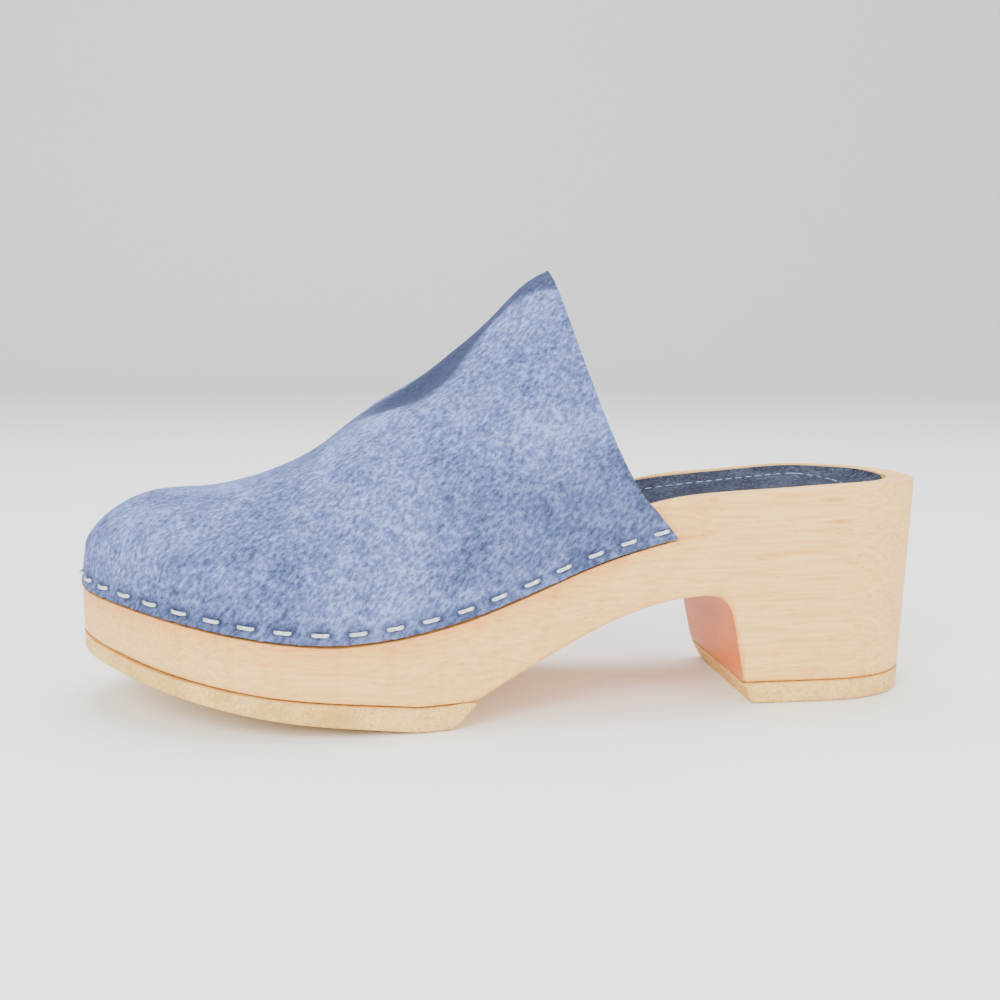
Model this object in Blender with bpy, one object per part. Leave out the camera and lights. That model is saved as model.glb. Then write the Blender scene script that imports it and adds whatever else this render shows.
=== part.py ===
"""Suede clog, left shoe: a wooden sole with a block heel, two rubber treads, a stapled suede upper
and a padded insole.

Metres, +Z up. The toe points to -X, the heel to +X, the outer side of the foot to -Y and its inner
side to +Y. The floor is Z = 0. "Along" is a share of the length, 0 at the back of the heel and 1 at
the tip of the toe.
"""

import math
from collections import namedtuple

import bmesh
import bpy
from mathutils import Matrix, Vector

# Driving dimensions of the sole
LENGTH = 0.250
BALL_WIDTH = 0.095
HEEL_WIDTH = 0.0636
HEEL_FOOT_WIDTH = 0.0560
HEEL_BACK_LEAN = 0.0026
HEEL_HEIGHT = 0.0655
BALL_HEIGHT = 0.0362
TOE_RISE = 0.0103
TOE_SPRING = 0.0166
ROCKER_RUN = 0.096
ARCH_HEIGHT = 0.0328
HEEL_BREAST = 0.0583
BREAST_RUN = 0.0123
EDGE_ROUND = 0.0008
COVERED_ROUND = 0.0022

# Rubber treads
TREAD_LENGTH = 0.1122
TREAD_THICKNESS = 0.0072
TREAD_AT_TOE = 0.0055
TREAD_END_LEAN = 0.0062
TREAD_END_FADE = 0.0186
LIFT_THICKNESS = 0.0065
LIFT_FRONT_LEAN = 0.0032
LIFT_FRONT_FADE = 0.0110

# Footbed and insole
RIM_WIDTH = 0.0034
BACK_RIM_EXTRA = 0.0050
RECESS_DEPTH = 0.0030
FOOTBED_BOWL = 0.0042
FOOTBED_FADE = 0.050
INSOLE_THICKNESS = 0.0028
INSOLE_ROUND = 0.0009

# Suede upper
INSTEP_HEIGHT = 0.1264
TOE_BOX_HEIGHT = 0.0616
UPPER_WALL = 0.0022
UPPER_PROUD = 0.0004
UPPER_OVERLAP = 0.0105
MARGIN_LEAN = 0.0016
TOE_ROUND = 0.0245
THROAT_CORNER = 0.0868
THROAT_LEAN = 0.0250
THROAT_TIP_CUT = 0.0006
MARGIN_CUT = 0.0068
RABBET_FADE = 0.0140
SHOULDER_RISE = 0.0002

# Staples
STAPLE_PITCH = 0.0100
STAPLE_FROM_CORNER = 0.0049
STAPLE_LENGTH = 0.0048
STAPLE_WIDTH = 0.0011
STAPLE_HEIGHT = 0.0009
STAPLE_FROM_EDGE = 0.0028
STAPLE_ROUND = 0.0003

# Gap between pieces that touch, and the shortest step between two stations
FIT_GAP = 0.0003
LEAST_STEP = 0.00035

# How finely the shapes are cut
BODY_STATIONS = 30
END_STATIONS = 12
UPPER_STATIONS = 28
HALF_GIRTH = 15
MARGIN_ROWS = 3
STAPLE_SAMPLES = 400
SMOOTH_ANGLE = math.radians(35)

# Plan of the sole: spread goes from the heel width (0) to the ball width (1), and centre is the
# middle line's shift to the inner side, as a share of the ball width
Plan = namedtuple("Plan", "along spread centre")
PLAN = (
    Plan(0.00, 0.00, 0.000),
    Plan(0.28, 0.01, -0.004),
    Plan(0.40, 0.09, -0.014),
    Plan(0.50, 0.31, -0.020),
    Plan(0.60, 0.64, -0.018),
    Plan(0.70, 0.93, -0.004),
    Plan(0.77, 1.00, 0.008),
    Plan(0.86, 0.90, 0.030),
    Plan(1.00, 0.58, 0.068),
)
HEEL_END = 0.13
HEEL_END_POWER = 2.3
TOE_END = 0.28
TOE_END_POWER = 2.25

# Top edge of the wood: shares of the drop from heel to ball, and of the toe's rise above the ball
Rim = namedtuple("Rim", "along heel toe")
RIM = (
    Rim(0.00, 0.975, 0.00),
    Rim(0.10, 0.977, 0.00),
    Rim(0.20, 0.930, 0.00),
    Rim(0.30, 0.865, 0.00),
    Rim(0.36, 0.760, 0.00),
    Rim(0.42, 0.605, 0.00),
    Rim(0.50, 0.345, 0.00),
    Rim(0.58, 0.130, 0.00),
    Rim(0.65, 0.030, 0.00),
    Rim(0.70, 0.000, 0.00),
    Rim(0.78, 0.000, 0.17),
    Rim(0.86, 0.000, 0.47),
    Rim(0.93, 0.000, 0.77),
    Rim(1.00, 0.000, 1.00),
)

# Underside of the waist, from the tread's rear end (0) to the top of the arch (1)
Arch = namedtuple("Arch", "run height")
ARCH = (
    Arch(0.00, 0.00),
    Arch(0.12, 0.17),
    Arch(0.19, 0.27),
    Arch(0.38, 0.51),
    Arch(0.57, 0.74),
    Arch(0.72, 0.88),
    Arch(0.87, 0.97),
    Arch(1.00, 1.00),
)

# Front of the heel, from the top of the arch (0) to the foot of the breast (1)
BREAST = (
    Arch(0.00, 1.00),
    Arch(0.28, 0.98),
    Arch(0.54, 0.89),
    Arch(0.68, 0.73),
    Arch(0.81, 0.41),
    Arch(1.00, 0.00),
)

# Rocker under the toe, from the end of the flat (0) to the tip (1)
ROCKER = (
    Arch(0.00, 0.000),
    Arch(0.09, 0.075),
    Arch(0.22, 0.165),
    Arch(0.38, 0.285),
    Arch(0.58, 0.475),
    Arch(0.74, 0.670),
    Arch(0.87, 0.860),
    Arch(1.00, 1.000),
)

# Sections of the upper: crest goes from the toe box (0) to the instep (1); side and top are the
# powers of the arch over the foot, 2 round and 1 straight; hill is the crest's shift to the inner
# side, as a share of the ball width
Girth = namedtuple("Girth", "along crest side top hill")
GIRTH = (
    Girth(0.30, 0.996, 1.60, 1.15, 0.000),
    Girth(0.44, 0.996, 1.60, 1.16, 0.005),
    Girth(0.46, 1.000, 1.60, 1.17, 0.008),
    Girth(0.47, 0.978, 1.60, 1.18, 0.010),
    Girth(0.50, 0.850, 1.65, 1.22, 0.015),
    Girth(0.55, 0.674, 1.75, 1.30, 0.025),
    Girth(0.60, 0.504, 1.85, 1.40, 0.035),
    Girth(0.66, 0.374, 1.95, 1.52, 0.040),
    Girth(0.69, 0.296, 2.00, 1.60, 0.040),
    Girth(0.72, 0.197, 2.05, 1.68, 0.035),
    Girth(0.76, 0.118, 2.15, 1.78, 0.025),
    Girth(0.80, 0.062, 2.20, 1.84, 0.012),
    Girth(0.86, 0.015, 2.25, 1.90, 0.000),
    Girth(1.00, 0.000, 2.10, 2.00, 0.000),
)
THROAT_POWER = 1.30
THROAT_TIP_TURN = math.radians(20)
TOE_CAP_POWER = 0.68


def smooth(places, values, at):
    """Value at a place on the smooth curve through the points, with no overshoot."""
    at = min(max(at, places[0]), places[-1])
    spans = [after - before for before, after in zip(places, places[1:])]
    rates = [(b - a) / span for a, b, span in zip(values, values[1:], spans)]
    slopes = [rates[0]]
    for before, after in zip(rates, rates[1:]):
        same_way = before * after > 0
        slopes.append(2 * before * after / (before + after) if same_way else 0.0)
    slopes.append(rates[-1])
    index = max(i for i in range(len(spans)) if places[i] <= at)
    share = (at - places[index]) / spans[index]
    rise = values[index] * (1 + 2 * share) * (1 - share) ** 2
    rise += values[index + 1] * share * share * (3 - 2 * share)
    bend = slopes[index] * share * (1 - share) ** 2
    bend -= slopes[index + 1] * share * share * (1 - share)
    return rise + bend * spans[index]


def read(table, column, at):
    """A named column of a table, read smoothly at a place given in its first column."""
    return smooth([row[0] for row in table], [getattr(row, column) for row in table], at)


def ease(share):
    """Soft step from 0 to 1."""
    share = min(max(share, 0.0), 1.0)
    return share * share * (3 - 2 * share)


def x_at(along):
    """X of a place along the sole."""
    return LENGTH * (0.5 - along)


def along_at(x):
    """Place along the sole of an X."""
    return 0.5 - x / LENGTH


X_FOOT = LENGTH / 2 - HEEL_BREAST
X_ARCH = X_FOOT - BREAST_RUN
X_TREAD = TREAD_LENGTH - LENGTH / 2
X_ROCKER = ROCKER_RUN - LENGTH / 2


def end_share(along):
    """How much of the width is left towards the rounded ends of the plan."""
    back = max((HEEL_END - along) / HEEL_END, 0.0)
    front = max((along - 1 + TOE_END) / TOE_END, 0.0)
    heel = max(1 - back ** HEEL_END_POWER, 0.0) ** (1 / HEEL_END_POWER)
    toe = max(1 - front ** TOE_END_POWER, 0.0) ** (1 / TOE_END_POWER)
    return heel * toe


def edge_y(along, side):
    """Y of the sole's edge on the inner (+1) or outer (-1) side."""
    width = HEEL_WIDTH + (BALL_WIDTH - HEEL_WIDTH) * read(PLAN, "spread", along)
    middle = BALL_WIDTH * read(PLAN, "centre", along)
    return middle + side * width / 2 * end_share(along)


def edge(along, side, outward=0.0):
    """Point of the plan's edge, moved outward square to it."""
    along = min(max(along, 0.0), 1.0)
    point = Vector((x_at(along), edge_y(along, side), 0.0))
    if along == 0.0 or along == 1.0:
        return point + Vector((outward if along == 0.0 else -outward, 0.0, 0.0))
    step = min(1e-4, along / 2, (1 - along) / 2)
    slope = (edge_y(along + step, side) - edge_y(along - step, side)) / (-2 * step * LENGTH)
    away = Vector((-slope * side, side, 0.0)).normalized()
    return point + away * outward


def rim_height(along):
    """Height of the wood's top edge."""
    drop = (HEEL_HEIGHT - BALL_HEIGHT) * read(RIM, "heel", along)
    return BALL_HEIGHT + drop + TOE_RISE * read(RIM, "toe", along)


def ground_height(along):
    """Height of the tread's underside above the floor."""
    run = (X_ROCKER - x_at(along)) / ROCKER_RUN
    return TOE_SPRING * read(ROCKER, "height", run) if run > 0 else 0.0


def seam_height(along):
    """Height of the joint between wood and front tread."""
    thin = ease((X_TREAD - x_at(along)) / TREAD_LENGTH)
    return ground_height(along) + TREAD_THICKNESS + (TREAD_AT_TOE - TREAD_THICKNESS) * thin


def wood_bottom(along):
    """Height of the wood's underside."""
    x = x_at(along)
    if x >= X_FOOT:
        return LIFT_THICKNESS
    if x >= X_ARCH:
        share = read(BREAST, "height", (x - X_ARCH) / BREAST_RUN)
        return LIFT_THICKNESS + (ARCH_HEIGHT - LIFT_THICKNESS) * share
    if x > X_TREAD:
        low = seam_height(along_at(X_TREAD))
        share = read(ARCH, "height", (x - X_TREAD) / (X_ARCH - X_TREAD))
        return low + (ARCH_HEIGHT - low) * share
    return seam_height(along)


def side_point(along, side, height, inward=0.0):
    """Point on the sole's side wall, which draws in towards the foot of the heel."""
    point = edge(along, side, -inward)
    top = rim_height(along)
    down = max(1 - height / top, 0.0)
    back = max(point.x - X_ARCH, 0.0) / (LENGTH / 2 - X_ARCH)
    narrow = (1 - HEEL_FOOT_WIDTH / HEEL_WIDTH) * ease((point.x - X_TREAD) / (X_ARCH - X_TREAD))
    return Vector((point.x - HEEL_BACK_LEAN * back * down, point.y * (1 - narrow * down), height))


def rabbet_share(along):
    """1 where the upper's margin lies in the wood's side, fading to 0 behind the throat's corner."""
    start = LENGTH / 2 - THROAT_CORNER + MARGIN_CUT
    return ease((start + RABBET_FADE - x_at(along)) / RABBET_FADE)


def rabbet_depth(along):
    """How far the wood's side is cut back under the lower edge of the upper."""
    return (UPPER_WALL - UPPER_PROUD + FIT_GAP) * rabbet_share(along)


def rabbet_lean(along):
    """How much further the wood's side is cut back at its top edge."""
    return MARGIN_LEAN * rabbet_share(along)


def margin_point(along, side, down):
    """Outer surface of the upper's margin, from the rim (0) down to its lower edge (1)."""
    point = edge(along, side, UPPER_PROUD - MARGIN_LEAN * (1 - down))
    point.z = rim_height(along) - UPPER_OVERLAP * down
    return point


def spread_places(start, finish, count):
    """Evenly spaced places, without the last one."""
    return [start + (finish - start) * i / count for i in range(count)]


def sole_places(start, finish):
    """Stations along the sole, close together round both ends, at the breast and at the tread."""
    quarter = [math.pi / 2 * i / END_STATIONS for i in range(END_STATIONS + 1)]
    places = [HEEL_END * (1 - math.cos(angle)) for angle in quarter]
    places += [1 - TOE_END * (1 - math.sin(angle)) for angle in quarter]
    places += spread_places(HEEL_END, 1 - TOE_END, BODY_STATIONS)
    places += [along_at(X_ARCH + BREAST_RUN * row.run) for row in BREAST]
    places += [along_at(X_TREAD), along_at(X_ROCKER)]
    kept = []
    for place in sorted(places):
        inside = start <= place <= finish
        if inside and (not kept or (place - kept[-1]) * LENGTH > LEAST_STEP):
            kept.append(place)
    kept[0] = start
    kept[-1] = finish
    return kept


def colour(code):
    """Linear colour from an sRGB hex code."""
    parts = [int(code[i:i + 2], 16) / 255 for i in (1, 3, 5)]
    linear = [c / 12.92 if c <= 0.04045 else ((c + 0.055) / 1.055) ** 2.4 for c in parts]
    return (*linear, 1.0)


def material(name, code, roughness, metallic=0.0):
    """Plain surface for a sub-part."""
    made = bpy.data.materials.new(name)
    made.use_nodes = True
    shader = made.node_tree.nodes["Principled BSDF"]
    shader.inputs["Base Color"].default_value = colour(code)
    shader.inputs["Roughness"].default_value = roughness
    shader.inputs["Metallic"].default_value = metallic
    return made


def finish_object(name, mesh_data, surface):
    """Turn a bmesh into a named object with smooth round faces."""
    bmesh.ops.remove_doubles(mesh_data, verts=mesh_data.verts, dist=1e-6)
    bmesh.ops.recalc_face_normals(mesh_data, faces=mesh_data.faces)
    mesh = bpy.data.meshes.new(name)
    mesh_data.to_mesh(mesh)
    mesh_data.free()
    mesh.shade_smooth()
    mesh.set_sharp_from_angle(angle=SMOOTH_ANGLE)
    mesh.materials.append(surface)
    made = bpy.data.objects.new(name, mesh)
    bpy.context.scene.collection.objects.link(made)
    return made


def lofted(name, rings, surface):
    """Closed solid through rings of equally many points, with its two end rings filled."""
    mesh_data = bmesh.new()
    rows = [[mesh_data.verts.new(point) for point in ring] for ring in rings]
    count = len(rows[0])
    for row, following in zip(rows, rows[1:]):
        for i in range(count):
            j = (i + 1) % count
            mesh_data.faces.new((row[i], row[j], following[j], following[i]))
    for ring, row in ((rings[0], rows[0]), (rings[-1], rows[-1])):
        if width_of(ring) > 1e-5:
            mesh_data.faces.new(row)
    return finish_object(name, mesh_data, surface)


def width_of(ring):
    """How wide a ring is, or nearly 0 where it has closed to a line."""
    return max(point.y for point in ring) - min(point.y for point in ring)


def inner_edge(along, side, extra=0.0):
    """Edge of the footbed's recess, set in from the wood's top edge."""
    start = LENGTH / 2 - THROAT_CORNER + MARGIN_CUT
    covered = ease((start + FOOTBED_FADE - x_at(along)) / FOOTBED_FADE)
    cut = (UPPER_WALL - UPPER_PROUD + FIT_GAP + MARGIN_LEAN) * covered
    back = BACK_RIM_EXTRA * (1 - ease(along / HEEL_END))
    return edge(along, side, -(cut + RIM_WIDTH + back + extra))


def footbed_height(along, across):
    """Height of the footbed, where across goes from -1 to 1."""
    bowl = FOOTBED_BOWL * (1 - across * across) * end_share(along)
    return rim_height(along) - RECESS_DEPTH - bowl


ACROSS = (-1.0, -0.82, -0.45, 0.0, 0.45, 0.82, 1.0)


def across_points(along, extra, lift):
    """Points over the footbed from the outer to the inner side."""
    outer = inner_edge(along, -1, extra)
    inner = inner_edge(along, 1, extra)
    points = []
    for across in ACROSS:
        point = outer.lerp(inner, (across + 1) / 2)
        point.z = footbed_height(along, across) + lift
        points.append(point)
    return points


def wood_ring(along):
    """Section of the wooden sole: up the inner side, over the footbed, down the outer side."""
    bottom = wood_bottom(along)
    top = rim_height(along)
    tilt = UPPER_WALL * MARGIN_LEAN / UPPER_OVERLAP
    shoulder = top - UPPER_OVERLAP - FIT_GAP - tilt - SHOULDER_RISE
    cut = rabbet_depth(along)
    deep = cut + rabbet_lean(along)
    turn = EDGE_ROUND + (COVERED_ROUND - EDGE_ROUND) * rabbet_share(along)
    bow = turn * (1 - math.cos(math.radians(45)))

    def wall(side):
        points = [side_point(along, side, bottom, EDGE_ROUND)]
        points.append(side_point(along, side, bottom + EDGE_ROUND))
        points.append(side_point(along, side, shoulder))
        points.append(side_point(along, side, shoulder + SHOULDER_RISE, cut))
        points.append(side_point(along, side, top - turn, deep))
        points.append(side_point(along, side, top - bow, deep + bow))
        points.append(side_point(along, side, top, deep + turn))
        lip = inner_edge(along, side)
        points.append(Vector((lip.x, lip.y, top)))
        return points

    floor = across_points(along, EDGE_ROUND / 2, 0.0)
    return wall(-1) + floor + wall(1)[::-1]


def make_sole(surface):
    """Wooden sole with its block heel, in one piece."""
    return lofted("wooden_sole", [wood_ring(along) for along in sole_places(0.0, 1.0)], surface)


def tread_ring(along, low_shift, low, high):
    """Section of a rubber tread between two heights, with its lower edge rounded."""
    points = []
    for side in (-1, 1):
        bottom = side_point(along_at(x_at(along) + low_shift), side, low, EDGE_ROUND)
        corner = side_point(along_at(x_at(along) + low_shift), side, low + EDGE_ROUND)
        upper = side_point(along, side, high)
        ring = [bottom, corner, upper]
        points += ring if side < 0 else ring[::-1]
    return points


def make_tread(surface):
    """Rubber under the forepart, with a leaning rear end that goes on the line of the arch."""
    rings = []
    start = along_at(X_TREAD)
    for along in sole_places(start, 1.0):
        behind = ease(1 - (along - start) * LENGTH / TREAD_END_FADE)
        shift = -TREAD_END_LEAN * behind
        low = ground_height(along_at(x_at(along) + shift))
        rings.append(tread_ring(along, shift, low, seam_height(along) - FIT_GAP))
    return lofted("forepart_tread", rings, surface)


def make_lift(surface):
    """Rubber lift under the heel, with its front on the line of the breast."""
    rings = []
    finish = along_at(X_FOOT)
    for along in sole_places(0.0, finish):
        behind = ease(1 - (finish - along) * LENGTH / LIFT_FRONT_FADE)
        rings.append(tread_ring(along, LIFT_FRONT_LEAN * behind, 0.0, LIFT_THICKNESS - FIT_GAP))
    return lofted("heel_lift", rings, surface)


def insole_ring(along):
    """Section of the insole, lying in the footbed's recess with rounded edges."""
    inset = EDGE_ROUND / 2 + FIT_GAP
    lower = across_points(along, inset, FIT_GAP)
    upper = across_points(along, inset, FIT_GAP + INSOLE_THICKNESS)
    narrow = across_points(along, inset + INSOLE_ROUND, FIT_GAP + INSOLE_THICKNESS)
    for i in (0, -1):
        upper[i].z -= INSOLE_ROUND
    return lower + [upper[-1]] + narrow[::-1] + [upper[0]]


def make_insole(surface):
    """Padded insole."""
    return lofted("insole", [insole_ring(along) for along in sole_places(0.0, 1.0)], surface)


def toe_cap_share(along):
    """How much of the upper's height is left towards the tip of the toe."""
    run = max(1 - (1 - along) * LENGTH / TOE_ROUND, 0.0)
    return max(1 - run * run, 0.0) ** TOE_CAP_POWER


def upper_point(along, angle):
    """Outer surface of the upper; the angle is 0 on the crest and a right angle at the rim."""
    rim = rim_height(along)
    rise = INSTEP_HEIGHT - TOE_BOX_HEIGHT
    crest = TOE_BOX_HEIGHT + rise * read(GIRTH, "crest", along)
    tall = (crest - rim) * toe_cap_share(along)
    sideways = abs(math.sin(angle)) ** (2 / read(GIRTH, "side", along))
    upward = max(math.cos(angle), 0.0) ** (2 / read(GIRTH, "top", along))
    outer = margin_point(along, -1, 0.0)
    inner = margin_point(along, 1, 0.0)
    middle = (outer + inner) / 2
    point = middle.lerp(inner if angle > 0 else outer, sideways)
    point.y += BALL_WIDTH * read(GIRTH, "hill", along) * upward * end_share(along)
    point.z = rim + tall * upward
    return point


def throat_place(angle):
    """Where along the sole the throat's edge crosses a line of the upper."""
    height = max(math.cos(angle), 0.0) ** THROAT_POWER
    tip = max(1 - (angle / THROAT_TIP_TURN) ** 2, 0.0) ** 2
    return (THROAT_CORNER + THROAT_LEAN * height + THROAT_TIP_CUT * tip) / LENGTH


def upper_row(share):
    """One line across the upper, from its outer lower edge over the crest to its inner one."""
    reach = math.sin(share * math.pi / 2)
    girth = [math.pi / 2 * i / HALF_GIRTH for i in range(-HALF_GIRTH, HALF_GIRTH + 1)]
    row = []
    for angle in girth:
        start = throat_place(angle)
        row.append(upper_point(start + (1 - start) * reach, angle))
    margins = []
    for side in (-1, 1):
        margin = []
        for i in range(MARGIN_ROWS, 0, -1):
            down = i / MARGIN_ROWS
            start = (THROAT_CORNER - MARGIN_CUT * down) / LENGTH
            along = start + (1 - start) * reach
            margin.append(margin_point(along, side, down))
        margins.append(margin)
    return margins[0] + row + margins[1][::-1]


def make_upper(surface):
    """Suede upper: one hollow shell, open at the throat and underneath."""
    mesh_data = bmesh.new()
    rows = []
    for i in range(UPPER_STATIONS + 1):
        rows.append([mesh_data.verts.new(point) for point in upper_row(i / UPPER_STATIONS)])
    for row, following in zip(rows, rows[1:]):
        for i in range(len(row) - 1):
            mesh_data.faces.new((row[i], following[i], following[i + 1], row[i + 1]))
    made = finish_object("suede_upper", mesh_data, surface)
    wall = made.modifiers.new("wall", "SOLIDIFY")
    wall.thickness = UPPER_WALL
    wall.offset = -1.0
    wall.use_even_offset = True
    wall.use_quality_normals = True
    return made


def staple_line():
    """Even places and directions for the staples, along the upper's lower edge."""
    start = (THROAT_CORNER - MARGIN_CUT) / LENGTH
    samples = []
    for side in (-1, 1):
        line = []
        for i in range(STAPLE_SAMPLES + 1):
            along = start + (1 - start) * math.sin(i / STAPLE_SAMPLES * math.pi / 2)
            line.append(margin_point(along, side, 1 - STAPLE_FROM_EDGE / UPPER_OVERLAP))
        samples += line if side < 0 else line[-2::-1]
    lengths = [0.0]
    for before, after in zip(samples, samples[1:]):
        lengths.append(lengths[-1] + (after - before).length)
    run = lengths[-1] - 2 * STAPLE_FROM_CORNER
    spaces = round(run / STAPLE_PITCH)
    places = []
    for i in range(spaces + 1):
        distance = STAPLE_FROM_CORNER + run * i / spaces
        index = max(j for j in range(len(lengths) - 1) if lengths[j] <= distance)
        share = (distance - lengths[index]) / (lengths[index + 1] - lengths[index])
        point = samples[index].lerp(samples[index + 1], share)
        places.append((point, (samples[index + 1] - samples[index]).normalized()))
    return places


def make_staples(surface):
    """Crowns of the wire staples, each lying on the suede."""
    mesh_data = bmesh.new()
    bmesh.ops.create_cube(mesh_data, size=1.0)
    bmesh.ops.scale(mesh_data, vec=(STAPLE_LENGTH, STAPLE_HEIGHT, STAPLE_WIDTH), verts=mesh_data.verts)
    bmesh.ops.bevel(mesh_data, geom=mesh_data.edges, offset=STAPLE_ROUND, segments=1, profile=0.5,
                    affect="EDGES", clamp_overlap=True, material=-1)
    mesh = bpy.data.meshes.new("staple")
    mesh_data.to_mesh(mesh)
    mesh_data.free()
    mesh.materials.append(surface)
    for number, (point, direction) in enumerate(staple_line(), start=1):
        outward = Vector((0, 0, 1)).cross(direction).normalized()
        upright = direction.cross(outward).normalized()
        made = bpy.data.objects.new(f"staple_{number:02d}", mesh)
        turn = Matrix((direction, outward, upright)).transposed().to_4x4()
        made.matrix_world = Matrix.Translation(point + outward * (FIT_GAP + STAPLE_HEIGHT / 2)) @ turn
        bpy.context.scene.collection.objects.link(made)


def main():
    for old in list(bpy.data.objects):
        bpy.data.objects.remove(old, do_unlink=True)
    make_sole(material("pale wood", "#ECCB99", 0.55))
    make_tread(material("tread rubber", "#DCC28A", 0.75))
    make_lift(material("lift rubber", "#DCC28A", 0.75))
    make_insole(material("insole suede", "#2A2C3A", 0.95))
    make_upper(material("upper suede", "#6F7A9E", 0.95))
    make_staples(material("staple steel", "#C9CBD0", 0.35, 1.0))


main()
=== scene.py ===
"""Suede clog, dressed: the finish of the wood, rubber, suede, thread and wire, and the studio."""

import math
from collections import namedtuple

import bmesh
import bpy
from mathutils import Matrix, Vector, noise
from mathutils.bvhtree import BVHTree
from mathutils.kdtree import KDTree


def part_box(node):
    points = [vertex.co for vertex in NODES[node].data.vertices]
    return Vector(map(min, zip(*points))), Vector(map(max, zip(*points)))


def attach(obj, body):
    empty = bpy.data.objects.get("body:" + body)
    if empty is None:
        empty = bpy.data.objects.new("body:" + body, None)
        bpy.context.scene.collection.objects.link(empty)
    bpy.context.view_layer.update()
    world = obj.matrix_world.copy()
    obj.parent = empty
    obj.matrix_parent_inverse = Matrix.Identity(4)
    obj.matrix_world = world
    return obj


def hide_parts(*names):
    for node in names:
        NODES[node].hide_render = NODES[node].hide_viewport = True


bl_info = {
    "name": "Suede clog",
    "version": (1, 0, 0),
    "blender": (4, 5, 0),
    "location": "3D View > Sidebar > Clog",
    "description": "Dresses a wooden-soled suede clog and sets it in a plain studio",
    "category": "Add Mesh",
}

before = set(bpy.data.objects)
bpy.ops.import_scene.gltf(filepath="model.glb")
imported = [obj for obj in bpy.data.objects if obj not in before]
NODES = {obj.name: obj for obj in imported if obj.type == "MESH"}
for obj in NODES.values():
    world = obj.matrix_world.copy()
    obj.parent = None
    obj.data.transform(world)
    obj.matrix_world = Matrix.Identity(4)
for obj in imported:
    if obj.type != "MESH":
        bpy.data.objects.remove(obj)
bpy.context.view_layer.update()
STAPLES = sorted(name for name in NODES if name.startswith("staple_"))
MM = 0.001

# Places on the clog, from the frame
SOLE_LOW, SOLE_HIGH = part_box("wooden_sole")
UPPER_LOW, UPPER_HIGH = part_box("suede_upper")
INSOLE_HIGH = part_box("insole")[1]
LENGTH = SOLE_HIGH.x - SOLE_LOW.x
WIDTH = SOLE_HIGH.y - SOLE_LOW.y
HEIGHT = UPPER_HIGH.z

# Troughs and ridges of the upper. x is a share of the sole's length from the middle
# (minus to the toe), y of its width, z of the clog's height; reach and depth are in millimetres, and
# a ridge has a depth below zero
Fold = namedtuple("Fold", "name x y z reach depth")
FOLDS = (
    Fold("crest hollow", -0.172, -0.025, 0.668, 4.0, 0.4),
    Fold("crest hollow", -0.144, -0.040, 0.689, 5.5, 1.7),
    Fold("crest hollow", -0.112, -0.053, 0.717, 6.5, 2.5),
    Fold("crest hollow", -0.080, -0.042, 0.761, 6.0, 2.3),
    Fold("crest hollow", -0.048, -0.026, 0.816, 5.0, 1.5),
    Fold("crest hollow", -0.020, -0.016, 0.872, 4.5, 0.9),
    Fold("crest hollow", 0.016, -0.020, 0.935, 4.0, 0.4),
    Fold("near ridge", -0.140, -0.150, 0.665, 6.0, -0.8),
    Fold("near ridge", -0.104, -0.180, 0.674, 7.0, -1.1),
    Fold("near ridge", -0.070, -0.165, 0.714, 6.0, -0.8),
    Fold("far ridge", -0.140, 0.070, 0.697, 6.0, -0.9),
    Fold("far ridge", -0.104, 0.085, 0.729, 6.0, -1.2),
    Fold("far ridge", -0.064, 0.080, 0.785, 6.0, -0.9),
    Fold("vamp hollow", -0.300, -0.330, 0.430, 12.0, 0.7),
    Fold("vamp hollow", -0.200, -0.400, 0.420, 13.0, 0.9),
    Fold("vamp hollow", -0.090, -0.400, 0.440, 12.0, 0.6),
    Fold("vamp swell", -0.220, -0.290, 0.560, 12.0, -0.7),
    Fold("vamp swell", -0.120, -0.290, 0.600, 13.0, -0.9),
    Fold("throat hollow", 0.070, -0.330, 0.560, 8.0, 0.8),
    Fold("throat hollow", 0.045, -0.270, 0.700, 8.0, 0.7),
    Fold("inner side hollow", -0.160, 0.380, 0.470, 13.0, 1.0),
    Fold("inner side hollow", -0.050, 0.350, 0.520, 12.0, 0.8),
    Fold("inner side swell", -0.090, 0.260, 0.650, 12.0, -0.8),
)

# Where the crest's hollow and the throat and vamp fall into shade, painted darker as painted shade, in the
# same shares, with the reach in millimetres
ShadePatch = namedtuple("ShadePatch", "name x y z reach strength")
PAINTED_SHADE_PATCHES = (
    ShadePatch("crest", -0.180, -0.010, 0.662, 3.0, 0.60),
    ShadePatch("crest", -0.146, -0.030, 0.690, 6.0, 0.95),
    ShadePatch("crest", -0.112, -0.050, 0.718, 9.0, 1.00),
    ShadePatch("crest", -0.082, -0.042, 0.762, 9.0, 1.00),
    ShadePatch("crest", -0.052, -0.016, 0.820, 6.5, 1.00),
    ShadePatch("crest", -0.024, 0.000, 0.872, 4.5, 0.95),
    ShadePatch("crest", 0.004, -0.005, 0.920, 4.5, 0.90),
    ShadePatch("crest", 0.034, -0.020, 0.966, 6.0, 0.85),
    ShadePatch("crest", 0.050, -0.030, 0.990, 7.0, 0.80),
    ShadePatch("throat", 0.075, -0.300, 0.680, 5.0, 0.10),
    ShadePatch("throat", 0.105, -0.340, 0.560, 9.0, 0.30),
    ShadePatch("throat", 0.130, -0.350, 0.460, 14.0, 0.45),
    ShadePatch("vamp", -0.060, -0.400, 0.400, 12.0, 0.22),
    ShadePatch("vamp", 0.000, -0.380, 0.430, 12.0, 0.28),
    ShadePatch("vamp", 0.060, -0.370, 0.440, 14.0, 0.38),
)


def hex_to_linear(code, alpha=1.0):
    """Linear colour from an sRGB hex code."""
    parts = [int(code[i:i + 2], 16) / 255 for i in (1, 3, 5)]
    linear = [c / 12.92 if c <= 0.04045 else ((c + 0.055) / 1.055) ** 2.4 for c in parts]
    return (*linear, alpha)


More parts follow.
